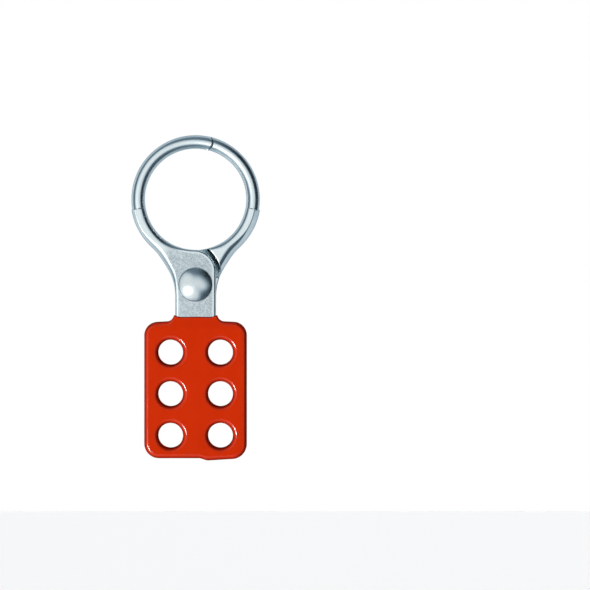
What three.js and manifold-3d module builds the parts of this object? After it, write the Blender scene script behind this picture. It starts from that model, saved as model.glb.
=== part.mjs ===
// Lockout hasp: two identical cast leaves, one turned round to face the other, that pivot on
// a domed rivet. Each leaf has half of a round jaw, a flat neck and a handle with six padlock
// holes, and each handle wears a dipped vinyl skin. The jaw is modelled closed.
//
// Units are millimetres, +Z is up, and the front of the hasp faces -Y. The origin is the
// inside top of the closed jaw, where the hasp hangs on the eye that it locks. The design is
// drawn about the rivet's axis, and the exported group carries it down to its place.

import * as THREE from "three";
import { mergeVertices } from "three/addons/utils/BufferGeometryUtils.js";
import Module from "manifold-3d";

const wasm = await Module();
wasm.setup();

// Jaw: a ring about a centre above the rivet.
const JAW_INNER_R = 19.05;
const JAW_CENTRE_Z = 32.2;
const ROD_WIDTH = 5.25;
const ARM_OUTER_R = 24.65;
const HALF_THICKNESS = 3;
const ROD_START_ANGLE = THREE.MathUtils.degToRad(-99.3);
const LAP_ANGLE = THREE.MathUtils.degToRad(17);
const ROD_MID_R = JAW_INNER_R + ROD_WIDTH / 2;
const NOSE_R = ROD_WIDTH / 2;
const NOSE_ANGLE = LAP_ANGLE - NOSE_R / ROD_MID_R;

// Neck and plate: the half-thickness part of a leaf.
const NECK_HALF_WIDTH = 7.7;
const FLARE_START_Z = -5;
const FLARE_R = 24.65;
const LOBE_R = 8.15;
const LOBE_X = NECK_HALF_WIDTH - LOBE_R;
const LOBE_Z = JAW_CENTRE_Z - Math.sqrt((JAW_INNER_R + LOBE_R) ** 2 - LOBE_X ** 2);
const LOBE_BACK_ROUND = 2;
const PLATE_EDGE_ROUND = 1;

// Cove: the hollow in a leaf's arm that the other leaf's lobe swings in.
const COVE_R = 3.15;
const COVE_RIDGE_R = 17.65;
const COVE_CENTRE_X = 7.3;
const COVE_CENTRE_Z = 0.7;
const COVE_FOOT_Z = 3;

// Clearances.
const LEAF_GAP = 0.15;
const LAP_GAP = 0.3;
const FIT_GAP = 0.15;

// Handle: the core is thinner than the neck and lies towards the outside.
const HANDLE_TOP_Z = -12;
const SHOULDER_Z = -13.4;
const HANDLE_BOTTOM_Z = -65.4;
const HANDLE_HALF_WIDTH = 19.3;
const SKIN_NECK_HALF_WIDTH = 8.15;
const SHOULDER_FILLET = 2.6;
const SHOULDER_DROP = 0.5;
const TOP_CORNER_R = 5;
const BOTTOM_CORNER_R = 5.6;
const SKIN_FRONT_Y = -3.8;
const SKIN_BACK_Y = -0.2;
const SKIN_EDGE_ROUND = 1.4;
const SKIN_WALL = 0.8;
const CORE_FRONT_Y = SKIN_FRONT_Y + SKIN_WALL + FIT_GAP;
const CORE_BACK_Y = SKIN_BACK_Y - SKIN_WALL - FIT_GAP;

// Padlock holes: two columns of three.
const HOLE_R = 4.7;
const HOLE_COLUMNS = [-9.4, 9.4];
const HOLE_TOP_Z = -25.45;
const HOLE_PITCH_Z = 15.675;
const HOLE_ROWS = 3;

// Rivet and washers.
const SHANK_R = 3.2;
const HEAD_R = 6.4;
const HEAD_HEIGHT = 2.3;
const HEAD_RIM = 0.7;
const TAIL_R = 5.2;
const TAIL_HEIGHT = 1.8;
const TAIL_RIM = 0.5;
const BACKING_WASHER_R = 6;
const BACKING_WASHER_THICKNESS = 0.8;
const THRUST_WASHER_R = 6.5;
const THRUST_WASHER_THICKNESS = 0.9;

// Fineness of the curved faces, and the reach of cutters and joins past what they meet.
const ROUND_SEGMENTS = 28;
const HOLE_SEGMENTS = 18;
const ARC_SEGMENTS = 7;
const ROD_SECTION_SEGMENTS = 8;
const ROD_STEP_ANGLE = THREE.MathUtils.degToRad(6);
const OVERLAP_ANGLE = THREE.MathUtils.degToRad(2);
const FAR = 80;

const ALUMINIUM = new THREE.MeshStandardMaterial({ color: 0xb4c0c6, metalness: 1, roughness: 0.42 });
const RED_VINYL = new THREE.MeshStandardMaterial({ color: 0xcc3008, metalness: 0, roughness: 0.3 });
const STEEL = new THREE.MeshStandardMaterial({ color: 0xc4cbcf, metalness: 1, roughness: 0.3 });

// Solids and geometry -------------------------------------------------------------------

function solidOf(geometry) {
  const bare = geometry.clone();
  bare.deleteAttribute("normal");
  bare.deleteAttribute("uv");
  const merged = mergeVertices(bare, 1e-4);
  return new wasm.Manifold(
    new wasm.Mesh({
      numProp: 3,
      vertProperties: merged.attributes.position.array,
      triVerts: new Uint32Array(merged.index.array),
    }),
  );
}

function geometryOf(solid) {
  const mesh = solid.getMesh();
  const geometry = new THREE.BufferGeometry();
  geometry.setAttribute("position", new THREE.BufferAttribute(mesh.vertProperties, 3));
  geometry.setIndex(new THREE.BufferAttribute(mesh.triVerts, 1));
  geometry.computeVertexNormals();
  return geometry;
}

// An outline drawn in X and Z, given thickness from yLow to yHigh, with both rims rounded.
function slab(outline, yLow, yHigh, round = 0) {
  const geometry = new THREE.ExtrudeGeometry(outline, {
    depth: yHigh - yLow - 2 * round,
    curveSegments: ARC_SEGMENTS,
    bevelEnabled: round > 0,
    bevelThickness: round,
    bevelSize: round,
    bevelOffset: -round,
    bevelSegments: 2,
  });
  geometry.translate(0, 0, round);
  geometry.rotateX(Math.PI / 2);
  geometry.translate(0, yHigh, 0);
  return solidOf(geometry);
}

function block(xLow, xHigh, yLow, yHigh, zLow, zHigh) {
  const geometry = new THREE.BoxGeometry(xHigh - xLow, yHigh - yLow, zHigh - zLow);
  geometry.translate((xLow + xHigh) / 2, (yLow + yHigh) / 2, (zLow + zHigh) / 2);
  return solidOf(geometry);
}

// A disc or cutter whose axis runs along Y at x and z.
function disc(radius, yLow, yHigh, x, z) {
  const geometry = new THREE.CylinderGeometry(radius, radius, yHigh - yLow, ROUND_SEGMENTS);
  geometry.translate(x, (yLow + yHigh) / 2, z);
  return solidOf(geometry);
}

// A profile of [radius, y] points turned about the rivet's axis, listed from low y to high y.
function turned(profile) {
  const points = profile.map(([radius, y]) => new THREE.Vector2(radius, y));
  return new THREE.LatheGeometry(points, ROUND_SEGMENTS);
}

// A point of the jaw: the angle is counted from the top, clockwise as seen from the front.
function jawPoint(radius, angle) {
  return new THREE.Vector2(radius * Math.sin(angle), JAW_CENTRE_Z + radius * Math.cos(angle));
}

class JawArc extends THREE.Curve {
  constructor(start, end) {
    super();
    this.start = start;
    this.end = end;
  }

  getPoint(t, target = new THREE.Vector3()) {
    const point = jawPoint(ROD_MID_R, THREE.MathUtils.lerp(this.start, this.end, t));
    return target.set(point.x, 0, point.y);
  }
}

// Round rod of the jaw between two angles.
function jawRod(start, end) {
  const section = new THREE.Shape();
  section.absellipse(0, 0, HALF_THICKNESS, ROD_WIDTH / 2, 0, 2 * Math.PI);
  const geometry = new THREE.ExtrudeGeometry(section, {
    steps: Math.ceil((end - start) / ROD_STEP_ANGLE),
    curveSegments: ROD_SECTION_SEGMENTS,
    extrudePath: new JawArc(start, end),
  });
  return solidOf(geometry);
}

// Wedge of the jaw between two angles, wider than the rod, for cutting.
function jawWedge(start, end, yLow, yHigh) {
  const inner = JAW_INNER_R - 2;
  const outer = ARM_OUTER_R + 2;
  const outline = new THREE.Shape();
  const steps = 4;
  for (let i = 0; i <= steps; i++) {
    const point = jawPoint(outer, THREE.MathUtils.lerp(start, end, i / steps));
    if (i === 0) outline.moveTo(point.x, point.y);
    else outline.lineTo(point.x, point.y);
  }
  for (let i = steps; i >= 0; i--) {
    const point = jawPoint(inner, THREE.MathUtils.lerp(start, end, i / steps));
    outline.lineTo(point.x, point.y);
  }
  return slab(outline, yLow, yHigh);
}

// Outlines --------------------------------------------------------------------------------

// Plate, neck and lower arm of the front leaf, whose arm is on the left.
function plateOutline() {
  const flareX = -NECK_HALF_WIDTH - FLARE_R;
  const toFlare = Math.atan2(FLARE_START_Z - JAW_CENTRE_Z, flareX);
  const toLobe = Math.atan2(LOBE_Z - JAW_CENTRE_Z, LOBE_X);
  const armEnd = Math.PI / 2 - ROD_START_ANGLE;
  const outline = new THREE.Shape();
  outline.moveTo(-NECK_HALF_WIDTH, HANDLE_TOP_Z + FIT_GAP);
  outline.lineTo(NECK_HALF_WIDTH, HANDLE_TOP_Z + FIT_GAP);
  outline.absarc(LOBE_X, LOBE_Z, LOBE_R, 0, toLobe + Math.PI, false);
  outline.absarc(0, JAW_CENTRE_Z, JAW_INNER_R, toLobe, armEnd - 2 * Math.PI, true);
  outline.absarc(0, JAW_CENTRE_Z, ARM_OUTER_R, armEnd, toFlare + 2 * Math.PI, false);
  outline.absarc(flareX, FLARE_START_Z, FLARE_R, toFlare + Math.PI, 0, true);
  return outline;
}

// Lobe of the plate and the straight edge under it.
function lobeOutline() {
  const outline = new THREE.Shape();
  outline.moveTo(-FAR, -LOBE_R);
  outline.lineTo(NECK_HALF_WIDTH, -LOBE_R);
  outline.absarc(LOBE_X, LOBE_Z, LOBE_R, 0, Math.PI / 2, false);
  outline.lineTo(-FAR, LOBE_Z + LOBE_R);
  return outline;
}

// Handle outline with its holes. Grow is how far it lies outside the vinyl skin's own outline,
// and neckTop is where the neck ends.
function handleOutline(grow, neckHalfWidth, neckTop) {
  const side = HANDLE_HALF_WIDTH + grow;
  const bottom = HANDLE_BOTTOM_Z - grow;
  const shoulder = SHOULDER_Z + grow;
  const topR = TOP_CORNER_R + grow;
  const bottomR = BOTTOM_CORNER_R + grow;
  const fillet = SHOULDER_FILLET - grow;
  const corner = shoulder - SHOULDER_DROP;
  const outline = new THREE.Shape();
  outline.moveTo(-side + bottomR, bottom);
  outline.lineTo(side - bottomR, bottom);
  outline.absarc(side - bottomR, bottom + bottomR, bottomR, -Math.PI / 2, 0, false);
  outline.absarc(side - topR, corner - topR, topR, 0, Math.PI / 2, false);
  outline.lineTo(neckHalfWidth + fillet, shoulder);
  outline.quadraticCurveTo(neckHalfWidth, shoulder, neckHalfWidth, shoulder + SHOULDER_FILLET / 2);
  outline.lineTo(neckHalfWidth, neckTop);
  outline.lineTo(-neckHalfWidth, neckTop);
  outline.lineTo(-neckHalfWidth, shoulder + SHOULDER_FILLET / 2);
  outline.quadraticCurveTo(-neckHalfWidth, shoulder, -neckHalfWidth - fillet, shoulder);
  outline.absarc(-side + topR, corner - topR, topR, Math.PI / 2, Math.PI, false);
  outline.absarc(-side + bottomR, bottom + bottomR, bottomR, Math.PI, 1.5 * Math.PI, false);
  for (const [x, z] of holePlaces()) {
    const hole = new THREE.Path();
    for (let i = 0; i < HOLE_SEGMENTS; i++) {
      const angle = (-2 * Math.PI * i) / HOLE_SEGMENTS;
      const px = x + (HOLE_R - grow) * Math.cos(angle);
      const pz = z + (HOLE_R - grow) * Math.sin(angle);
      if (i === 0) hole.moveTo(px, pz);
      else hole.lineTo(px, pz);
    }
    outline.holes.push(hole);
  }
  return outline;
}

function holePlaces() {
  const places = [];
  for (let row = 0; row < HOLE_ROWS; row++) {
    for (const x of HOLE_COLUMNS) places.push([x, HOLE_TOP_Z - row * HOLE_PITCH_Z]);
  }
  return places;
}

// Pieces ----------------------------------------------------------------------------------

// What the front leaf leaves free in the back half: room for the other leaf's plate, neck and
// handle, the cove for its lobe, and the lap for its jaw tip.
function backHalfCutter() {
  const low = -LEAF_GAP;
  const high = HALF_THICKNESS + 1;
  const profile = [
    [0, low],
    [COVE_RIDGE_R - COVE_R, low],
  ];
  const steps = 6;
  for (let i = 1; i <= steps; i++) {
    const angle = (i / steps) * (Math.PI / 2);
    const radius = COVE_RIDGE_R - COVE_R + COVE_R * Math.sin(angle);
    profile.push([radius, low + COVE_R * (1 - Math.cos(angle))]);
  }
  profile.push([COVE_RIDGE_R, high], [0, high]);
  const cove = turned(profile);
  cove.translate(COVE_CENTRE_X, 0, COVE_CENTRE_Z);
  const nose = jawPoint(ROD_MID_R, -NOSE_ANGLE);
  return solidOf(cove)
    .add(block(-FAR, FAR, low, high, -FAR, COVE_FOOT_Z))
    .add(jawWedge(-NOSE_ANGLE, 2 * LAP_ANGLE, low, high))
    .add(disc(NOSE_R + LAP_GAP, low, high, nose.x, nose.y));
}

// Rounding of the lobe's inner rim, so that it clears the cove.
function lobeRelief() {
  const rim = block(LOBE_X, 2 * LOBE_R, -LEAF_GAP - LOBE_BACK_ROUND, 0, COVE_FOOT_Z, 2 * LOBE_R);
  return rim.subtract(slab(lobeOutline(), -2 * LOBE_R, -LEAF_GAP, LOBE_BACK_ROUND));
}

function leafSolid() {
  const plate = slab(plateOutline(), -HALF_THICKNESS, HALF_THICKNESS, PLATE_EDGE_ROUND);
  const rod = jawRod(ROD_START_ANGLE - OVERLAP_ANGLE, NOSE_ANGLE);
  const nose = jawPoint(ROD_MID_R, NOSE_ANGLE);
  const tip = jawRod(NOSE_ANGLE - 2 * OVERLAP_ANGLE, LAP_ANGLE + OVERLAP_ANGLE).intersect(
    disc(NOSE_R, -HALF_THICKNESS, HALF_THICKNESS, nose.x, nose.y),
  );
  const recessY = -THRUST_WASHER_THICKNESS / 2 - FIT_GAP;
  const core = slab(
    handleOutline(-SKIN_WALL - FIT_GAP, NECK_HALF_WIDTH, HANDLE_TOP_Z + 1),
    CORE_FRONT_Y,
    CORE_BACK_Y,
  );
  return plate
    .add(rod)
    .add(tip)
    .subtract(backHalfCutter())
    .subtract(lobeRelief())
    .add(core)
    .subtract(disc(SHANK_R + FIT_GAP, -FAR, FAR, 0, 0))
    .subtract(disc(THRUST_WASHER_R + FIT_GAP, recessY, FAR, 0, 0));
}

function skinSolid() {
  const outside = slab(
    handleOutline(0, SKIN_NECK_HALF_WIDTH, HANDLE_TOP_Z),
    SKIN_FRONT_Y,
    SKIN_BACK_Y,
    SKIN_EDGE_ROUND,
  );
  const pocket = slab(
    handleOutline(-SKIN_WALL, NECK_HALF_WIDTH + FIT_GAP, HANDLE_TOP_Z + 2),
    SKIN_FRONT_Y + SKIN_WALL,
    SKIN_BACK_Y - SKIN_WALL,
  );
  return outside.subtract(pocket);
}

// Domed head in front, shank through both leaves, and a low formed tail behind the washer.
function rivetGeometry() {
  const seat = HALF_THICKNESS + FIT_GAP;
  const tailSeat = seat + BACKING_WASHER_THICKNESS + FIT_GAP;
  const rise = HEAD_HEIGHT - HEAD_RIM;
  const domeR = (HEAD_R ** 2 + rise ** 2) / (2 * rise);
  const domeAngle = Math.asin(HEAD_R / domeR);
  const crownY = -seat - HEAD_HEIGHT;
  const steps = 8;
  const profile = [];
  for (let i = 0; i <= steps; i++) {
    const angle = (i / steps) * domeAngle;
    profile.push([domeR * Math.sin(angle), crownY + domeR * (1 - Math.cos(angle))]);
  }
  profile.push([HEAD_R, -seat], [SHANK_R, -seat], [SHANK_R, tailSeat], [TAIL_R, tailSeat]);
  for (let i = 0; i <= steps / 2; i++) {
    const angle = (i / (steps / 2)) * (Math.PI / 2);
    const up = (TAIL_HEIGHT - TAIL_RIM) * Math.sin(angle);
    profile.push([TAIL_R * Math.cos(angle), tailSeat + TAIL_RIM + up]);
  }
  return turned(profile);
}

function washerGeometry(outerR, yLow, yHigh) {
  const holeR = SHANK_R + FIT_GAP;
  return turned([
    [holeR, yLow],
    [outerR, yLow],
    [outerR, yHigh],
    [holeR, yHigh],
    [holeR, yLow],
  ]);
}

// Assembly --------------------------------------------------------------------------------

const hasp = new THREE.Group();
hasp.position.z = -(JAW_CENTRE_Z + JAW_INNER_R);

function addPiece(parent, name, geometry, material) {
  const mesh = new THREE.Mesh(geometry, material);
  mesh.name = name;
  parent.add(mesh);
}

const leafGeometry = geometryOf(leafSolid());
const skinGeometry = geometryOf(skinSolid());

for (const [side, turn] of [
  ["front", 0],
  ["rear", Math.PI],
]) {
  const half = new THREE.Group();
  half.rotation.z = turn;
  addPiece(half, `${side}_leaf`, leafGeometry, ALUMINIUM);
  addPiece(half, `${side}_grip_coating`, skinGeometry, RED_VINYL);
  hasp.add(half);
}

const washerSeat = HALF_THICKNESS + FIT_GAP;
const washerTop = washerSeat + BACKING_WASHER_THICKNESS;
const thrustHalf = THRUST_WASHER_THICKNESS / 2;
addPiece(hasp, "rivet", rivetGeometry(), STEEL);
addPiece(hasp, "backing_washer", washerGeometry(BACKING_WASHER_R, washerSeat, washerTop), STEEL);
addPiece(hasp, "thrust_washer", washerGeometry(THRUST_WASHER_R, -thrustHalf, thrustHalf), STEEL);

const part = new THREE.Group();
part.add(hasp);

export default part;
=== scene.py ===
"""Looks of the lockout hasp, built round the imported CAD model.

The two leaves and their vinyl coatings are drawn as distance fields, in millimetres about the
rivet's axis, and meshed from them, so that every edge has its real rounding. The front pieces
are made first. The rear ones are the same shapes turned half a turn about the upright axis, but
each coating has a run of vinyl of its own on its lower edge.
"""

import itertools
import math

import bpy
import numpy as np
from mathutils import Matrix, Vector


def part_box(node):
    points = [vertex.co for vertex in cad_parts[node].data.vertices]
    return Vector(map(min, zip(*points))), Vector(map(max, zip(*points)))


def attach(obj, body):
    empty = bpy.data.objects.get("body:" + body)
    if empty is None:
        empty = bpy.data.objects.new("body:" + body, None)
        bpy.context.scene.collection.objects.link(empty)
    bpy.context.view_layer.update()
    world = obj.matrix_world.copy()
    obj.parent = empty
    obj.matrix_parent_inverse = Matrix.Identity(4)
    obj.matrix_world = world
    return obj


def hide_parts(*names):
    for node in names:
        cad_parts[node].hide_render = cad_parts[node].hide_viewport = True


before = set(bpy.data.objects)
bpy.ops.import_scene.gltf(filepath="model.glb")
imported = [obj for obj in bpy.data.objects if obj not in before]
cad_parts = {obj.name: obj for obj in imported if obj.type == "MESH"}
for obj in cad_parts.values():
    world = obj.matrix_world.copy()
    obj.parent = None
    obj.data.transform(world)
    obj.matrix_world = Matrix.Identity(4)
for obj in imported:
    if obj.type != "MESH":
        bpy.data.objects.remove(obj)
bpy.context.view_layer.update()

# Places, from the frame ------------------------------------------------------------------

MM = 0.001
rivet_low, rivet_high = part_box("rivet")
RIVET_X = (rivet_low.x + rivet_high.x) / 2
RIVET_Z = (rivet_low.z + rivet_high.z) / 2
HEAD_R = (rivet_high.x - rivet_low.x) / 2 / MM
HEAD_FRONT_Y = rivet_low.y / MM

# Sizes, in millimetres about the rivet's axis --------------------------------------------

# Jaw: a round rod with a nose at its tip, which grows out of the leaf's arm.
JAW_INNER_R = 19.05
JAW_Z = -RIVET_Z / MM - JAW_INNER_R
ROD_HALF_WIDTH = 2.625
ROD_HALF_DEPTH = 2.88
ROD_MID_R = JAW_INNER_R + ROD_HALF_WIDTH
ROD_START = math.radians(-99.3)
ROD_ROOT = 0.5
NOSE_R = ROD_HALF_WIDTH
NOSE_TIP = math.radians(17)
NOSE_ANGLE = NOSE_TIP - NOSE_R / ROD_MID_R
NOSE_ROUND = 0.4

# Neck, and the plate with the flare on its outer side and the lobe on its inner side.
HALF_THICKNESS = 3.0
NECK_HALF_WIDTH = 7.7
NECK_END_Z = -13.4
ARM_OUTER_R = 24.65
FLARE_R = 24.65
FLARE_X = -NECK_HALF_WIDTH - FLARE_R
FLARE_Z = -5.0
FLARE_SWELL = 0.45
FLARE_SWELL_Z = 8.0
FLARE_SWELL_REACH = 4.0
LOBE_R = 8.15
LOBE_X = NECK_HALF_WIDTH - LOBE_R
LOBE_Z = JAW_Z - math.sqrt((JAW_INNER_R + LOBE_R) ** 2 - LOBE_X**2)

# Bevel along the outer edge: narrow at the neck, and wide and steep on the arm. Its crease
# against the flat face opens on the flare and closes again up the arm.
NECK_BEVEL_WIDTH = 0.3
BEVEL_WIDTH = 1.25
BACK_BEVEL_WIDTH = 2.0
BACK_BEVEL_STARTS_Y = (-0.5, 0.5)
BEVEL_TILT = math.radians(57)
BEVEL_WIDENS_Z = (FLARE_Z, 8)
NECK_CREASE_R = 0.6
FLARE_CREASE_R = 1.0
ARM_CREASE_R = 0.15
CREASE_OPENS_Z = (-4, 8)
CREASE_CLOSES_Z = (14, 22)

# Rounding of the leaf's other edges. The lobe's back edge is rounder than the rest.
EDGE_BREAK = 0.3
OUTER_ROUND = 0.6
PLATE_INNER_ROUND = 0.95
ARM_INNER_ROUND = 2.5
ARM_STARTS_X = (-3, -13)
BACK_ROUND = 0.45
LOBE_BACK_ROUND = 2.0
LOBE_BACK_STARTS_X = (-4, 1)
LOBE_BACK_STARTS_Z = (1, 4)
LOBE_BACK_ENDS_Z = (30, 25)

# Room for the other leaf, with the cove that its lobe swings in.
LEAF_GAP = 0.15
LAP_GAP = 0.3
COVE_R = 3.15
COVE_RIDGE_R = 17.65
COVE_X = 7.3
COVE_Z = 0.7
COVE_FOOT_Z = 3.0
COVE_FOOT_ROUND = 0.8
BORE_R = 3.35
RECESS_R = 6.65
RECESS_DEPTH_Y = 0.6

# Vinyl coating, with the handle's core in its pocket.
SKIN_FRONT_Y = -3.8
SKIN_BACK_Y = -0.2
SKIN_MIDDLE_Y = (SKIN_FRONT_Y + SKIN_BACK_Y) / 2
SKIN_NECK_HALF_WIDTH = 8.1
SKIN_HALF_WIDTH = 19.3
SKIN_TOP_Z = -12.4
SKIN_TOP_CORNERS_X = (5.5, 8)
SKIN_TOP_CORNER_RISE = 0.8
SKIN_BOTTOM_Z = -65.4
SHOULDER_Z = -13.3
SHOULDER_SLOPE = 0.05
SHOULDER_FILLET = 2.6
TOP_CORNER_R = 4.8
BOTTOM_CORNER_R = 5.6
SKIN_EDGE_ROUND = 1.7
SKIN_NECK_ROUND = 0.7
SKIN_SHARPENS_Z = (-15.5, -13)
SKIN_NECK_THINNING = 0.28
SKIN_THINS_Z = (-17, -12.5)
SKIN_WANDER = 0.04
SKIN_WALL = 0.8
EDGE_WALL = 1.25
POCKET_GAP = 0.02
FIT_GAP = 0.15
NECK_REACH = 8
CORE_TOP_Z = NECK_END_Z + 1
CORE_NECK_HALF_WIDTH = NECK_HALF_WIDTH - 0.3

# Padlock holes: two columns of three.
HOLE_R = 4.7
HOLE_ROUND = 1.75
HOLE_X = 9.4
HOLE_TOP_Z = -25.45
HOLE_PITCH_Z = 15.675
HOLE_ROWS = 3

# Run of vinyl on each coating's lower edge: its deepest place, and the side it fades towards.
DRIPS = {"front": (4.8, 1), "rear": (-6.0, -1)}
DRIP_DROP = 0.85
DRIP_START_WIDTH = 3.6
DRIP_FADE = 0.65
DRIP_FADE_WIDTH = 9
DRIP_DEPTHS = (55, 61)

# Rivet and washers.
HEAD_SEAT_Y = -3.15
HEAD_RIM_Y = -3.85
HEAD_RISE = HEAD_RIM_Y - HEAD_FRONT_Y - 0.06
HEAD_LEAN = 0.032
HEAD_RIM_INSET = 0.2
HEAD_RIM_DROP = 0.25
HEAD_RIM_ROUND = 0.3
HEAD_SEAT_ROUND = 0.15
SHANK_R = 3.2
TAIL_R = 5.2
TAIL_SEAT_Y = 4.1
TAIL_RIM = 0.5
TAIL_RISE = 1.3
TAIL_ROUND = 0.25
TAIL_STEPS = 21
TAIL_STEP_ANGLE = math.radians(4.1)
RIVET_SEGMENTS = 160
WASHER_HOLE_R = 3.35
WASHER_SHEARED_ROUND = 0.12
WASHER_ROLLED_ROUND = 0.25
WASHER_SEGMENTS = 120

# Satin face of the plate: its distance from the edges, and where it gives way to polish.
SATIN_INSET = (1.1, 1.5)
SATIN_STARTS_X = (-13.5, -9.5)
SATIN_ENDS_Z = (15, 12)

# Grids that the fields are meshed on: their spacing, and how far they reach past the shapes.
LEAF_STEP = 0.3
LEAF_DEPTH_STEP = 0.235
LEAF_MARGIN_X = 0.73
LEAF_MARGIN_Y = 0.53
LEAF_MARGIN_Z = 0.7
COVE_STEP = 0.2
COVE_GRID_X = (-13.4, -4.1)
COVE_GRID_Z = (-2.1, 13.1)
CORE_STEP = 1.1
CORE_MARGIN_Z = 1.1
CORE_GRID_TOP_Z = SKIN_TOP_Z - 1.7
SKIN_STEP = 0.38
SKIN_DEPTH_STEP = 0.36
SKIN_MARGIN_X = 0.87
SKIN_GRID_Y = (-4.31, 0.37)
SKIN_MARGIN_Z = 1.9

# How well normals agree where a surface stops being an edge and starts being flat.
FLAT = (0.96, 0.995)


# Distance fields -------------------------------------------------------------------------


def rounded_max(a, b, radius):
    """What two fields share, with the edge where they meet rounded to the radius."""
    over_a = np.maximum(a + radius, 0)
    over_b = np.maximum(b + radius, 0)
    return np.minimum(np.maximum(a, b), -radius) + np.sqrt(over_a**2 + over_b**2)


def rounded_min(a, b, radius):
    """Two fields joined, with a fillet of the radius in the corner between them."""
    return -rounded_max(-a, -b, radius)


def ramp(value, start, end):
    """0 at start, 1 at end, smooth between them and level beyond them."""
    t = np.clip((value - start) / (end - start), 0, 1)
    return t * t * (3 - 2 * t)


def between(first, second, share):
    """A value between two others."""
    return first + (second - first) * share


def past_radius(x, z, angle):
    """Distance past the jaw's radius at an angle counted clockwise from the top."""
    return x * math.cos(angle) - (z - JAW_Z) * math.sin(angle)


def from_jaw_point(x, z, angle):
    """Distance in the front view from the rod's middle line at an angle."""
    return np.hypot(x - ROD_MID_R * math.sin(angle), z - JAW_Z - ROD_MID_R * math.cos(angle))


def outer_edge(x, z):
    """Left edge of the neck, the flare above it and the arm's outer edge."""
    jaw = np.hypot(x, z - JAW_Z) - ARM_OUTER_R
    flare = FLARE_R - np.hypot(x - FLARE_X, z - FLARE_Z)
    neck = -NECK_HALF_WIDTH - x
    above = -FLARE_X * (z - FLARE_Z) - (JAW_Z - FLARE_Z) * (x - FLARE_X) > 0
    swell = FLARE_SWELL * np.exp(-(((z - FLARE_SWELL_Z) / FLARE_SWELL_REACH) ** 2))
    return np.where(above, jaw, np.where(z < FLARE_Z, neck, flare)) - swell


def inner_edge(x, z):
    """Right edge of the neck, the lobe above it and the inside of the jaw."""
    jaw = JAW_INNER_R - np.hypot(x, z - JAW_Z)
    lobe = np.hypot(x - LOBE_X, z - LOBE_Z) - LOBE_R
    neck = x - NECK_HALF_WIDTH
    right = -LOBE_X * (z - LOBE_Z) - (JAW_Z - LOBE_Z) * (x - LOBE_X) < 0
    return np.where(right, np.where(z < LOBE_Z, neck, lobe), jaw)


def plate_and_arm(x, y, z):
    """Flat plate whose outer edge becomes the steep bevel of the arm."""
    outer = outer_edge(x, z)
    faces = np.abs(y) - HALF_THICKNESS
    widest = between(BEVEL_WIDTH, BACK_BEVEL_WIDTH, ramp(y, *BACK_BEVEL_STARTS_Y))
    width = between(NECK_BEVEL_WIDTH, widest, ramp(z, *BEVEL_WIDENS_Z))
    bevel = faces * math.cos(BEVEL_TILT) + (outer + width) * math.sin(BEVEL_TILT)
    crease = between(NECK_CREASE_R, FLARE_CREASE_R, ramp(z, *CREASE_OPENS_Z))
    crease = between(crease, ARM_CREASE_R, ramp(z, *CREASE_CLOSES_Z))
    solid = rounded_max(faces, bevel, crease)
    solid = rounded_max(solid, outer, OUTER_ROUND)
    inner_round = between(PLATE_INNER_ROUND, ARM_INNER_ROUND, ramp(x, *ARM_STARTS_X))
    solid = rounded_max(solid, inner_edge(x, z), inner_round)
    solid = rounded_max(solid, past_radius(x, z, ROD_START), EDGE_BREAK)
    return np.maximum(solid, NECK_END_Z - z)


def jaw_rod(x, y, z):
    """Round rod of the jaw, from inside the arm to the nose at its tip."""
    across = np.hypot(x, z - JAW_Z) - ROD_MID_R
    near = np.hypot(across / ROD_HALF_WIDTH, y / ROD_HALF_DEPTH)
    slope = np.hypot(across / ROD_HALF_WIDTH**2, y / ROD_HALF_DEPTH**2)
    rod = near * (near - 1) / np.maximum(slope, 1e-6)
    tip = from_jaw_point(x, z, NOSE_ANGLE) - NOSE_R
    nose = np.minimum(past_radius(x, z, NOSE_ANGLE), tip)
    rod = rounded_max(rod, nose, NOSE_ROUND)
    return np.maximum(rod, -ROD_ROOT - past_radius(x, z, ROD_START))


def lap_cutter(x, y, z):
    """Room in the back half for the other leaf's jaw tip."""
    tip = from_jaw_point(x, z, -NOSE_ANGLE) - NOSE_R - LAP_GAP
    plan = np.minimum(-past_radius(x, z, -NOSE_ANGLE), tip)
    return rounded_max(plan, -LEAF_GAP - y, EDGE_BREAK)


def swing_cutter(x, y, z):
    """Room in the back half for the other leaf's plate, with the cove for its lobe."""
    ridge = np.hypot(x - COVE_X, z - COVE_Z) - COVE_RIDGE_R
    cove = rounded_max(ridge, -LEAF_GAP - y, COVE_R)
    below = rounded_max(z - COVE_FOOT_Z, -LEAF_GAP - y, COVE_FOOT_ROUND)
    return np.minimum(cove, below)


def handle_plan(x, z, top, neck_half_width, grow):
    """Outline of the handle in the front view, with the holes closed."""
    side = np.abs(x) - SKIN_HALF_WIDTH - grow
    shoulder = z - SHOULDER_Z + SHOULDER_SLOPE * np.abs(x) - grow
    bottom = SKIN_BOTTOM_Z - grow - z
    body = rounded_max(side, shoulder, TOP_CORNER_R + grow)
    body = rounded_max(body, bottom, BOTTOM_CORNER_R + grow)
    neck = np.maximum(np.abs(x) - neck_half_width, z - top)
    neck = np.maximum(neck, SHOULDER_Z - NECK_REACH - z)
    return rounded_min(body, neck, SHOULDER_FILLET - grow)


def to_holes(x, z):
    """Distance to the nearest padlock hole's centre."""
    rows = [z - HOLE_TOP_Z + HOLE_PITCH_Z * row for row in range(HOLE_ROWS)]
    return np.min([np.hypot(np.abs(x) - HOLE_X, up) for up in rows], axis=0)


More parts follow.
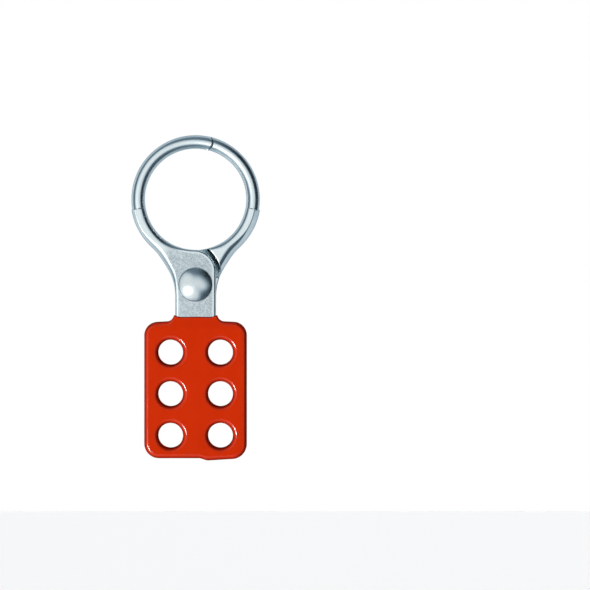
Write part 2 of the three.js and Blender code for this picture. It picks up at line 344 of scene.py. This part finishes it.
def handle_core(x, y, z):
    """Thin core of the handle, hidden in the vinyl."""
    grow = -EDGE_WALL - FIT_GAP
    plan = handle_plan(x, z, CORE_TOP_Z, CORE_NECK_HALF_WIDTH, grow)
    plan = np.maximum(plan, HOLE_R - grow - to_holes(x, z))
    front = SKIN_FRONT_Y + SKIN_WALL + FIT_GAP
    back = SKIN_BACK_Y - SKIN_WALL - FIT_GAP
    return np.maximum(plan, np.maximum(front - y, y - back))


def leaf_field(x, y, z):
    """Front leaf: arm on the left, plate in the front half."""
    solid = np.minimum(plate_and_arm(x, y, z), jaw_rod(x, y, z))
    at_lobe = ramp(x, *LOBE_BACK_STARTS_X)
    at_lobe = at_lobe * ramp(z, *LOBE_BACK_STARTS_Z) * ramp(z, *LOBE_BACK_ENDS_Z)
    back_round = between(BACK_ROUND, LOBE_BACK_ROUND, at_lobe)
    solid = rounded_max(solid, -swing_cutter(x, y, z), back_round)
    solid = rounded_max(solid, -lap_cutter(x, y, z), EDGE_BREAK)
    from_rivet = np.hypot(x, z)
    solid = np.maximum(solid, BORE_R - from_rivet)
    solid = np.maximum(solid, np.minimum(RECESS_R - from_rivet, y + RECESS_DEPTH_Y))
    return np.minimum(solid, handle_core(x, y, z))


def drip_drop(x, drip_x, lean):
    """How far the run of vinyl hangs: it starts suddenly, and fades towards where it leans."""
    past = lean * (x - drip_x)
    faded = DRIP_FADE * np.clip(past / DRIP_FADE_WIDTH, 0, 1)
    return DRIP_DROP * ramp(past, -DRIP_START_WIDTH, 0) * (1 - faded)


def skin_field(drip_x, lean):
    """Field of the front handle's vinyl coating, with a run of vinyl on its lower edge."""

    def field(x, y, z):
        drip = drip_drop(x, drip_x, lean) * ramp(-z, *DRIP_DEPTHS)
        top = SKIN_TOP_Z + SKIN_TOP_CORNER_RISE * ramp(np.abs(x), *SKIN_TOP_CORNERS_X)
        plan = handle_plan(x, z + drip, top, SKIN_NECK_HALF_WIDTH, 0)
        wander = SKIN_WANDER * np.sin(0.55 * x + 0.31 * z + 0.8) * np.sin(0.23 * z - 0.37 * x)
        thinned = SKIN_NECK_THINNING * ramp(z, *SKIN_THINS_Z)
        faces = np.abs(y - SKIN_MIDDLE_Y) - (SKIN_BACK_Y - SKIN_FRONT_Y) / 2 + thinned + wander
        edge = between(SKIN_EDGE_ROUND, SKIN_NECK_ROUND, ramp(z, *SKIN_SHARPENS_Z))
        solid = rounded_max(plan, faces, edge)
        solid = rounded_max(solid, HOLE_R - to_holes(x, z), HOLE_ROUND)
        pocket_plan = handle_plan(x, z, 0, NECK_HALF_WIDTH + POCKET_GAP, -EDGE_WALL)
        pocket_plan = np.maximum(pocket_plan, HOLE_R + EDGE_WALL - to_holes(x, z))
        pocket = np.maximum(SKIN_FRONT_Y + SKIN_WALL - y, y - SKIN_BACK_Y + SKIN_WALL)
        return np.maximum(solid, -np.maximum(pocket_plan, pocket))

    return field


# Meshing ---------------------------------------------------------------------------------


def gradient(field, points, reach=0.02):
    """Field values and their gradient at the points."""
    value = field(*points.T)
    slope = np.empty_like(points)
    for axis in range(3):
        step = np.zeros(3)
        step[axis] = reach
        slope[:, axis] = field(*(points + step).T) - field(*(points - step).T)
    return value, slope / (2 * reach)


def normals_at(field, points):
    """Unit normals of the field at the points."""
    slope = gradient(field, points)[1]
    return slope / np.linalg.norm(slope, axis=1, keepdims=True)


def pulled(field, points, rounds, longest=0.2):
    """The points moved on to the surface, along the gradient."""
    for _ in range(rounds):
        value, slope = gradient(field, points)
        steep = np.maximum((slope**2).sum(1), 0.25)
        move = slope * (value / steep)[:, None]
        length = np.linalg.norm(move, axis=1, keepdims=True)
        points = points - move * np.minimum(1, longest / np.maximum(length, 1e-9))
    return points


def relaxed(field, points, quads, freedom, rounds):
    """The points spread evenly over the surface, as far as each is free to move."""
    pairs = np.concatenate([quads[:, [i, (i + 1) % 4]] for i in range(4)])
    ends = np.concatenate([pairs, pairs[:, ::-1]])
    count = np.bincount(ends[:, 0], minlength=len(points))[:, None]
    for _ in range(rounds):
        near = [np.bincount(ends[:, 0], points[ends[:, 1], k], len(points)) for k in range(3)]
        points = points + 0.5 * freedom * (np.stack(near, 1) / count - points)
        points = pulled(field, points, 2)
    return points


def fitted_points(field, axes, values, corner, mixed):
    """A point in each mixed cell, and its freedom: 0 on an edge, 1 on a smooth stretch.

    The point fits best the planes where the surface crosses the cell's own edges.
    """
    count = mixed.sum()
    cell = np.argwhere(mixed)
    low = np.stack([a[cell[:, k]] for k, a in enumerate(axes)], 1)
    high = np.stack([a[cell[:, k] + 1] for k, a in enumerate(axes)], 1)
    owners, places = [], []
    for axis, near in itertools.product(range(3), corner):
        if near[axis]:
            continue
        far = tuple(1 if k == axis else o for k, o in enumerate(near))
        first = values[corner[near]][mixed]
        second = values[corner[far]][mixed]
        owner = np.flatnonzero((first < 0) != (second < 0))
        share = first[owner] / (first[owner] - second[owner])
        place = np.array(near) + np.eye(3)[axis] * share[:, None]
        owners.append(owner)
        places.append(low[owner] + place * (high[owner] - low[owner]))
    owners = np.concatenate(owners)
    places = np.concatenate(places)
    normals = normals_at(field, places)
    crossings = np.bincount(owners, minlength=count)[:, None]

    def added(parts):
        return np.stack([np.bincount(owners, part, count) for part in parts.T], 1)

    middle = added(places) / crossings
    apart = (normals * (places - middle[owners])).sum(1, keepdims=True)
    planes = added((normals[:, :, None] * normals[:, None, :]).reshape(-1, 9)).reshape(-1, 3, 3)
    pull = added(normals * apart)
    shift = np.linalg.solve(planes + 0.05 * np.eye(3), pull[:, :, None])[:, :, 0]
    agreement = np.linalg.norm(added(normals) / crossings, axis=1, keepdims=True)
    return np.clip(middle + shift, low, high), ramp(agreement, *FLAT)


def crossed_quads(inside, number):
    """A quad for each grid edge that the surface crosses, from the four cells round it."""
    quads = []
    for axis in range(3):
        b, c = (axis + 1) % 3, (axis + 2) % 3
        body = [slice(1, -1)] * 3
        body[axis] = slice(0, -1)
        ahead = list(body)
        ahead[axis] = slice(1, None)
        starts, ends = inside[tuple(body)], inside[tuple(ahead)]
        for leaving, order in ((starts & ~ends, 1), (~starts & ends, -1)):
            base = np.argwhere(leaving)
            base[:, [b, c]] += 1
            ring = []
            for step_b, step_c in ((-1, -1), (0, -1), (0, 0), (-1, 0)):
                cell = base.copy()
                cell[:, b] += step_b
                cell[:, c] += step_c
                ring.append(number[tuple(cell.T)])
            quads.append(np.stack(ring[::order], 1))
    return np.concatenate(quads)


def surface(field, axes):
    """Points and quads of the closed surface where the field is zero, on a grid."""
    values = field(*np.meshgrid(*axes, indexing="ij"))
    inside = values < 0
    cells = tuple(n - 1 for n in values.shape)
    corner = {}
    for offset in itertools.product((0, 1), repeat=3):
        corner[offset] = tuple(slice(o, o + n) for o, n in zip(offset, cells))
    filled = sum(inside[part].astype(np.int8) for part in corner.values())
    mixed = (filled > 0) & (filled < 8)
    number = np.full(cells, -1, np.int64)
    number[mixed] = np.arange(mixed.sum())
    points, freedom = fitted_points(field, axes, values, corner, mixed)
    quads = crossed_quads(inside, number)
    return relaxed(field, pulled(field, points, 3), quads, freedom, 3), quads


def corner_normals(field, points, quads):
    """Normals of the quads' corners, smooth but for the sharp edges."""
    corners = points[quads]
    inward = corners + 0.3 * (corners.mean(1, keepdims=True) - corners)
    smooth = normals_at(field, points)[quads]
    own = normals_at(field, inward.reshape(-1, 3)).reshape(corners.shape)
    sharp = (smooth * own).sum(2, keepdims=True) < 0.9
    return np.where(sharp, own, smooth).reshape(-1, 3)


def even(low, high, step):
    """Places from low to high, a step apart."""
    return np.linspace(low, high, round((high - low) / step) + 1)


def graded(stops, steps):
    """Places through all the stops, with a step of its own from each stop to the next."""
    parts = [even(low, high, step)[:-1] for low, high, step in zip(stops, stops[1:], steps)]
    return np.concatenate([*parts, stops[-1:]])


def lathe_shape(profile, segments, solid):
    """A profile of (radius, y) turned about the rivet's axis.

    A solid's profile runs from pole to pole, and any other profile is a closed loop.
    """
    points, faces = [], []
    for radius, y in profile:
        for i in range(segments):
            angle = 2 * math.pi * i / segments
            points.append((radius * math.cos(angle), y, radius * math.sin(angle)))
    rows = len(profile)
    for row in range(rows - 1 if solid else rows):
        here, there = row * segments, (row + 1) % rows * segments
        for i in range(segments):
            j = (i + 1) % segments
            faces.append((here + i, here + j, there + j, there + i))
    if solid:
        last = (rows - 1) * segments
        points += [(0, profile[0][1], 0), (0, profile[-1][1], 0)]
        for i in range(segments):
            j = (i + 1) % segments
            faces.append((rows * segments, j, i))
            faces.append((rows * segments + 1, last + i, last + j))
    return {"points": points, "faces": faces}


def arc(centre, radius, start, end, steps):
    """Points (radius, y) of an arc, from one angle to another in degrees."""
    points = []
    for i in range(steps + 1):
        angle = math.radians(start + (end - start) * i / steps)
        across, along = radius * math.cos(angle), radius * math.sin(angle)
        points.append((centre[0] + across, centre[1] + along))
    return points


def piece(name, shape, material, body, node, turn=False):
    """A Blender object from a shape in millimetres about the rivet's axis."""
    sign = np.array([-1, -1, 1]) if turn else np.ones(3)
    place = np.array(shape["points"]) * sign * MM + np.array([RIVET_X, 0, RIVET_Z])
    mesh = bpy.data.meshes.new(name)
    mesh.from_pydata(place.tolist(), [], shape["faces"])
    mesh.materials.append(material)
    mesh.shade_smooth()
    for key, values in shape.get("marks", {}).items():
        layer = mesh.attributes.new(key, "FLOAT", "POINT")
        layer.data.foreach_set("value", values.astype(np.float32))
    if "normals" in shape:
        mesh.normals_split_custom_set((shape["normals"] * sign).tolist())
    made = bpy.data.objects.new(name, mesh)
    bpy.context.scene.collection.objects.link(made)
    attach(made, body)
    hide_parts(node)
    return made


# Shapes ----------------------------------------------------------------------------------


def leaf_shape():
    """Front leaf. The grid is finer round the cove, and coarser in the hidden core."""
    side = ARM_OUTER_R + LEAF_MARGIN_X
    across = graded([-side, *COVE_GRID_X, side], [LEAF_STEP, COVE_STEP, LEAF_STEP])
    depth = HALF_THICKNESS + LEAF_MARGIN_Y
    deep = even(-depth, depth, LEAF_DEPTH_STEP)
    bottom = SKIN_BOTTOM_Z - CORE_MARGIN_Z
    top = JAW_Z + ARM_OUTER_R + LEAF_MARGIN_Z
    stops = [bottom, CORE_GRID_TOP_Z, *COVE_GRID_Z, top]
    upward = graded(stops, [CORE_STEP, LEAF_STEP, COVE_STEP, LEAF_STEP])
    points, quads = surface(leaf_field, (across, deep, upward))
    x, y, z = points.T
    within = -np.maximum(outer_edge(x, z), inner_edge(x, z))
    front = -normals_at(leaf_field, points)[:, 1]
    face = ramp(front, *FLAT) * ramp(within, *SATIN_INSET)
    satin = face * ramp(x, *SATIN_STARTS_X) * ramp(z, *SATIN_ENDS_Z)
    return {
        "points": points,
        "faces": quads.tolist(),
        "normals": corner_normals(leaf_field, points, quads),
        "marks": {"satin": satin},
    }


def skin_shape(drip_x, lean):
    """Vinyl coating of the front handle."""
    field = skin_field(drip_x, lean)
    side = SKIN_HALF_WIDTH + SKIN_MARGIN_X
    across = even(-side, side, SKIN_STEP)
    deep = even(*SKIN_GRID_Y, SKIN_DEPTH_STEP)
    upward = even(SKIN_BOTTOM_Z - SKIN_MARGIN_Z, SKIN_TOP_Z + SKIN_MARGIN_Z, SKIN_STEP)
    points, quads = surface(field, (across, deep, upward))
    normals = corner_normals(field, points, quads)
    return {"points": points, "faces": quads.tolist(), "normals": normals}


def rivet_shape():
    """Shallow domed head in front, shank, and tail formed over the backing washer."""
    dome_r = (HEAD_R**2 + HEAD_RISE**2) / (2 * HEAD_RISE)
    edge = math.degrees(math.asin((HEAD_R - HEAD_RIM_INSET) / dome_r)) - 90
    profile = arc((0, HEAD_RIM_Y - HEAD_RISE + dome_r), dome_r, -89, edge, 30)
    rim = (HEAD_R - HEAD_RIM_ROUND, HEAD_RIM_Y + HEAD_RIM_DROP)
    profile += arc(rim, HEAD_RIM_ROUND, edge, 0, 6)[1:]
    seat = (HEAD_R - HEAD_SEAT_ROUND, HEAD_SEAT_Y - HEAD_SEAT_ROUND)
    profile += arc(seat, HEAD_SEAT_ROUND, 0, 90, 5)
    profile += [(SHANK_R, HEAD_SEAT_Y), (SHANK_R, TAIL_SEAT_Y)]
    profile += arc((TAIL_R - TAIL_ROUND, TAIL_SEAT_Y + TAIL_ROUND), TAIL_ROUND, -90, 0, 5)
    for i in range(1, TAIL_STEPS + 1):
        angle = TAIL_STEP_ANGLE * i
        height = TAIL_RIM + TAIL_RISE * math.sin(angle)
        profile.append((TAIL_R * math.cos(angle), TAIL_SEAT_Y + height))
    shape = lathe_shape(profile, RIVET_SEGMENTS, True)
    points = np.array(shape["points"])
    x, y, z = points.T
    points[:, 1] += HEAD_LEAN * (x + z) * ramp(-y, -HEAD_SEAT_Y, -HEAD_RIM_Y)
    shape["points"] = points
    return shape


def washer_shape(node, hole_r):
    """Stamped washer: one edge sheared sharp, the other rolled."""
    low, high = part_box(node)
    outer_r = (high.x - low.x) / 2 / MM
    front, back = low.y / MM, high.y / MM
    sheared = (outer_r - WASHER_SHEARED_ROUND, front + WASHER_SHEARED_ROUND)
    rolled = (outer_r - WASHER_ROLLED_ROUND, back - WASHER_ROLLED_ROUND)
    profile = [(hole_r, back), (hole_r, front)]
    profile += arc(sheared, WASHER_SHEARED_ROUND, -90, 0, 4)
    profile += arc(rolled, WASHER_ROLLED_ROUND, 0, 90, 6)
    return lathe_shape(profile, WASHER_SEGMENTS, False)


# Nodes -----------------------------------------------------------------------------------


def plug(tree, node, sockets):
    """The node's inputs linked or filled."""
    for key, value in sockets.items():
        if isinstance(value, bpy.types.NodeSocket):
            tree.links.new(value, node.inputs[key])
        else:
            node.inputs[key].default_value = value


def add(tree, kind, sockets=None, **settings):
    """A node with its settings and inputs."""
    made = tree.nodes.new("ShaderNode" + kind)
    for key, value in settings.items():
        setattr(made, key, value)
    plug(tree, made, sockets or {})
    return made


def calc(tree, operation, *values):
    """A number worked out from others."""
    return add(tree, "Math", dict(enumerate(values)), operation=operation).outputs[0]


def mixed_colour(tree, share, first, second):
    """A colour between two others."""
    return add(tree, "Mix", {0: share, 6: first, 7: second}, data_type="RGBA").outputs[2]


def mapped(tree, value, source, target=(0.0, 1.0), **settings):
    """A number carried from one range to another, and held inside it."""
    sockets = {"Value": value}
    for name, ends in (("From", source), ("To", target)):
        sockets[name + " Min"], sockets[name + " Max"] = ends
    return add(tree, "MapRange", sockets, **settings).outputs[0]


def noise(tree, per_metre, detail):
    """Noise in the piece's own space, with a number of grains per metre."""
    place = add(tree, "TexCoord").outputs["Object"]
    sockets = {"Vector": place, "Scale": per_metre, "Detail": detail}
    return add(tree, "TexNoise", sockets).outputs[0]


def spread(tree, value, low, high):
    """The middle of the noise's range stretched to run from low to high."""
    return mapped(tree, value, (0.3, 0.7), (low, high))


def bumped(tree, height, depth):
    """Normals of a relief with a depth in metres."""
    return add(tree, "Bump", {"Height": height, "Distance": depth, "Strength": 1.0}).outputs[0]


# Materials -------------------------------------------------------------------------------

SATIN_ALUMINIUM = ((0.33, 0.395, 0.415, 1), (0.60, 0.67, 0.695, 1))
POLISHED_ALUMINIUM = ((0.67, 0.755, 0.775, 1), (0.745, 0.83, 0.85, 1))
RED_VINYL = ((0.64, 0.028, 0.001, 1), (0.71, 0.031, 0.0015, 1))
# Near-black red mixed into the vinyl's rims as painted shade, where its surface turns away from
# the face.
PAINTED_RIM_SHADE = (0.02, 0.0, 0.0, 1)
RIVET_COLOUR = (0.70, 0.78, 0.80)
WASHER_COLOUR = (0.55, 0.56, 0.56)
FLOOR_COLOUR = (0.93, 0.93, 0.93, 1)


def material(name):
    """A new material, with its node tree and shader."""
    made = bpy.data.materials.new(name)
    made.use_nodes = True
    return made, made.node_tree, made.node_tree.nodes["Principled BSDF"]


def aluminium():
    """Polished arms and edges, and a satin, finely grained face on the plate."""
    made, tree, shader = material("cast_aluminium_satin")
    satin = add(tree, "Attribute", attribute_name="satin").outputs["Fac"]
    grain = noise(tree, 2800, 4)
    clouds = noise(tree, 420, 2)
    wander = noise(tree, 160, 2)
    speck = calc(tree, "ADD", spread(tree, grain, -0.3, 1.3), spread(tree, clouds, -0.2, 0.2))
    polished_colour = mixed_colour(tree, wander, *POLISHED_ALUMINIUM)
    satin_colour = mixed_colour(tree, speck, *SATIN_ALUMINIUM)
    polished_rough = spread(tree, clouds, 0.20, 0.28)
    satin_rough = spread(tree, grain, 0.40, 0.52)
    relief = calc(tree, "MULTIPLY", grain, mapped(tree, satin, (0, 1), (0.2, 1)))
    plug(tree, shader, {
        "Base Color": mixed_colour(tree, satin, polished_colour, satin_colour),
        "Metallic": 1.0,
        "Roughness": add(tree, "Mix", {0: satin, 2: polished_rough, 3: satin_rough}).outputs[0],
        "Normal": bumped(tree, relief, 0.000018),
    })
    return made


def vinyl():
    """Dipped coating: opaque, glossier where it turns away at its rims, and darkened there with
    painted shade.
    """
    made, tree, shader = material("red_vinyl_dip")
    clouds = noise(tree, 90, 2)
    peel = noise(tree, 520, 2)
    normal = add(tree, "TexCoord").outputs["Normal"]
    forward = calc(tree, "ABSOLUTE", add(tree, "SeparateXYZ", {0: normal}).outputs[1])
    # Painted shade: the base colour darkens towards the rims as the surface turns away from the
    # face.
    rim = mapped(tree, forward, (0.97, 0.62), (0.0, 0.5))
    away = add(tree, "LayerWeight", {"Blend": 0.5}).outputs["Facing"]
    rising = mapped(tree, away, (0.005, 0.025), (0.03, 0.3))
    falling = mapped(tree, away, (0.12, 0.45), (1.0, 0.0))
    face = mixed_colour(tree, clouds, *RED_VINYL)
    plug(tree, shader, {
        "Base Color": mixed_colour(tree, rim, face, PAINTED_RIM_SHADE),
        "Roughness": spread(tree, peel, 0.09, 0.14),
        "Specular IOR Level": calc(tree, "MULTIPLY", rising, falling),
        "Normal": bumped(tree, peel, 0.00001),
    })
    return made


def steel(name, colour, low_rough, high_rough, per_metre):
    """Plated steel with a fine matte grain."""
    made, tree, shader = material(name)
    grain = noise(tree, per_metre, 4)
    clouds = noise(tree, 300, 2)
    shaded = tuple(0.82 * c for c in colour)
    plug(tree, shader, {
        "Base Color": mixed_colour(tree, clouds, (*shaded, 1), (*colour, 1)),
        "Metallic": 1.0,
        "Roughness": spread(tree, grain, low_rough, high_rough),
        "Normal": bumped(tree, grain, 0.000006),
    })
    return made


def pale_floor():
    """Matte white that also glows a little, as a lit paper backdrop does."""
    made, tree, shader = material("pale_floor")
    plug(tree, shader, {
        "Base Color": FLOOR_COLOUR,
        "Roughness": 0.9,
        "Emission Color": FLOOR_COLOUR,
        "Emission Strength": 0.45,
    })
    return made


# Assembly --------------------------------------------------------------------------------

leaf = leaf_shape()
leaf_material = aluminium()
skin_material = vinyl()
rivet_material = steel("rivet_steel_satin", RIVET_COLOUR, 0.16, 0.24, 2600)
washer_material = steel("washer_steel_plain", WASHER_COLOUR, 0.30, 0.42, 1800)

coatings = bpy.data.collections.new("coatings")
for side, turn in (("front", False), ("rear", True)):
    body = side + "_half"
    piece(side + "_leaf_visual", leaf, leaf_material, body, side + "_leaf", turn)
    skin = skin_shape(*DRIPS[side])
    node = side + "_grip_coating"
    coating = piece(node + "_visual", skin, skin_material, body, node, turn)
    coatings.objects.link(coating)

piece("rivet_visual", rivet_shape(), rivet_material, "rear_half", "rivet")
for node in ("backing_washer", "thrust_washer"):
    washer = washer_shape(node, WASHER_HOLE_R)
    piece(node + "_visual", washer, washer_material, "rear_half", node)

# Floor -----------------------------------------------------------------------------------

FLOOR_Z = -0.42
FLOOR_HALF = 4
SQUARE = ((-1, -1), (1, -1), (1, 1), (-1, 1))

floor_mesh = bpy.data.meshes.new("floor")
corners = [(sx * FLOOR_HALF, sy * FLOOR_HALF, FLOOR_Z) for sx, sy in SQUARE]
floor_mesh.from_pydata(corners, [], [(0, 1, 2, 3)])
floor_mesh.materials.append(pale_floor())
floor = bpy.data.objects.new("floor", floor_mesh)
bpy.context.scene.collection.objects.link(floor)
floor.visible_glossy = False
floor.visible_diffuse = False

# Studio ----------------------------------------------------------------------------------

# The studio, seen from the object: a level of light round the camera, screens farther out and
# walls beyond them. Each row is a side, with its direction in degrees from the right, the
# levels of its near part, screen and wall, and the angles from the camera's axis, in degrees,
# at which its screen starts and ends.
STUDIO_SIDES = [
    (0, 0.95, 0.03, 0.95, 39, 109),
    (45, 0.95, 0.02, 0.80, 33, 107),
    (90, 0.92, 0.20, 0.68, 29, 94),
    (135, 1.00, 0.15, 0.72, 53, 92),
    (180, 1.00, 0.13, 0.92, 52, 96),
    (225, 1.20, 0.62, 1.00, 56, 100),
    (270, 1.00, 0.20, 0.40, 46, 90),
    (315, 0.80, 0.10, 0.80, 26, 98),
]
SCREEN_SOFT = 12
WALL_SOFT = 15

# Behind the object: a screen, and past it a light level again.
BACK_SCREEN = 0.12
BACK_NEAR = 0.95
BACK_START = 124.0
BACK_END = 138.0

# Dim light is cool, and full light is white.
DIM_TINT = (0.66, 1.0, 1.30, 1)
WHITE = (1.0, 1.0, 1.0, 1)

# Matte surfaces see a soft light from the lower front left, and another opposite it.
FILL_LEVEL = 4.53
FILL_BACK_LEVEL = 4.9
FILL_BASE_LEVEL = 0.1
FILL_FROM = (-0.56, -0.70, -0.44)
FILL_FOCUS = 8.0

# Lamps: their size in metres, power in watts, and place in metres about the rivet.
KEY = {"size": 0.3, "power": 1.9, "place": (-0.34, -0.86, -0.26)}
GLINT = {"size": 0.088, "power": 1.55, "place": (-0.15, -0.30, -0.125)}


def share_of(tree, x, z, sideways, degrees):
    """1 straight towards a side, falling to 0 at its neighbours; all sides add up to 1."""
    angle = math.radians(degrees)
    along_x = calc(tree, "MULTIPLY", x, math.cos(angle))
    along_z = calc(tree, "MULTIPLY", z, math.sin(angle))
    towards = calc(tree, "DIVIDE", calc(tree, "ADD", along_x, along_z), sideways)
    facing = calc(tree, "MAXIMUM", towards, 0.0)
    doubled = calc(tree, "MULTIPLY_ADD", calc(tree, "MULTIPLY", facing, facing), 2.0, -1.0)
    kept = calc(tree, "MAXIMUM", doubled, 0.0)
    return calc(tree, "MULTIPLY", kept, kept)


def past(tree, off_axis, limit, softness):
    """0 nearer the camera's axis than the limit, and 1 beyond it."""
    low = calc(tree, "SUBTRACT", limit, float(softness))
    high = calc(tree, "ADD", limit, float(softness))
    return mapped(tree, off_axis, (low, high), interpolation_type="SMOOTHSTEP")


def blended(tree, first, second, share):
    """A number between two others."""
    return calc(tree, "MULTIPLY_ADD", calc(tree, "SUBTRACT", second, first), share, first)


def studio_light(tree, unit):
    """Light that glossy surfaces see from a direction."""
    x, y, z = add(tree, "SeparateXYZ", {0: unit}).outputs
    turn = calc(tree, "ARCCOSINE", calc(tree, "MULTIPLY", y, -1.0))
    off_axis = calc(tree, "DEGREES", turn)
    square = calc(tree, "ADD", calc(tree, "MULTIPLY", x, x), calc(tree, "MULTIPLY", z, z))
    sideways = calc(tree, "MAXIMUM", calc(tree, "SQRT", square), 1e-4)
    totals = [0.0] * 5
    for degrees, *values in STUDIO_SIDES:
        share = share_of(tree, x, z, sideways, degrees)
        totals = [calc(tree, "MULTIPLY_ADD", share, float(v), t) for v, t in zip(values, totals)]
    near, screen, wall, start, end = totals
    level = blended(tree, near, screen, past(tree, off_axis, start, SCREEN_SOFT))
    level = blended(tree, level, wall, past(tree, off_axis, end, WALL_SOFT))
    level = blended(tree, level, BACK_SCREEN, past(tree, off_axis, BACK_START, SCREEN_SOFT))
    level = blended(tree, level, BACK_NEAR, past(tree, off_axis, BACK_END, SCREEN_SOFT))
    tint = mixed_colour(tree, calc(tree, "MINIMUM", level, 1.0), DIM_TINT, WHITE)
    return add(tree, "VectorMath", {0: tint, "Scale": level}, operation="SCALE").outputs[0]


def fill_light(tree, unit):
    """Light that matte surfaces see from a direction."""
    sockets = {0: unit, 1: FILL_FROM}
    along = add(tree, "VectorMath", sockets, operation="DOT_PRODUCT").outputs["Value"]
    lobe = calc(tree, "POWER", calc(tree, "ABSOLUTE", along), FILL_FOCUS)
    behind = calc(tree, "LESS_THAN", along, 0.0)
    strength = calc(tree, "MULTIPLY_ADD", behind, FILL_BACK_LEVEL - FILL_LEVEL, FILL_LEVEL)
    return calc(tree, "MULTIPLY_ADD", lobe, strength, FILL_BASE_LEVEL)


def round_light(name, size, power, place):
    """Round area light aimed at the rivet."""
    data = bpy.data.lights.new(name, "AREA")
    data.shape = "DISK"
    data.size = size
    data.energy = power
    made = bpy.data.objects.new(name, data)
    bpy.context.scene.collection.objects.link(made)
    made.location = Vector((RIVET_X, 0, RIVET_Z)) + Vector(place)
    made.rotation_euler = (-Vector(place)).to_track_quat("-Z", "Y").to_euler()
    return made


world = bpy.data.worlds.new("studio")
world.use_nodes = True
bpy.context.scene.world = world
sky_tree = world.node_tree
towards = add(sky_tree, "TexCoord").outputs["Generated"]
towards = add(sky_tree, "VectorMath", {0: towards}, operation="NORMALIZE").outputs[0]
ray = add(sky_tree, "LightPath").outputs
glossy_sky = studio_light(sky_tree, towards)
matte_sky = fill_light(sky_tree, towards)
sky = mixed_colour(sky_tree, ray["Is Diffuse Ray"], glossy_sky, matte_sky)
sky = mixed_colour(sky_tree, ray["Is Camera Ray"], sky, WHITE)
sky_tree.links.new(sky, sky_tree.nodes["Background"].inputs["Color"])

round_light("key", **KEY)

# A small light that only the vinyl shows, as the glints on its rims.
glint = round_light("glint", **GLINT)
glint.visible_diffuse = False
glint.light_linking.receiver_collection = coatings

# Camera, in metres: its distance, the width that it sees, and where it aims --------------

CAMERA_DISTANCE = 1.15
VIEW_WIDTH = 0.2221
VIEW_RIGHT = 0.0375
VIEW_DOWN = 0.0039

camera_data = bpy.data.cameras.new("camera")
camera_data.sensor_width = 36
camera_data.lens = CAMERA_DISTANCE * camera_data.sensor_width / VIEW_WIDTH
camera_data.clip_end = 20
camera = bpy.data.objects.new("camera", camera_data)
bpy.context.scene.collection.objects.link(camera)
camera.location = (
    RIVET_X + VIEW_RIGHT,
    -CAMERA_DISTANCE - HALF_THICKNESS * MM,
    RIVET_Z - VIEW_DOWN,
)
camera.rotation_euler = (math.pi / 2, 0, 0)
bpy.context.scene.camera = camera
bpy.context.scene.view_settings.view_transform = "Standard"
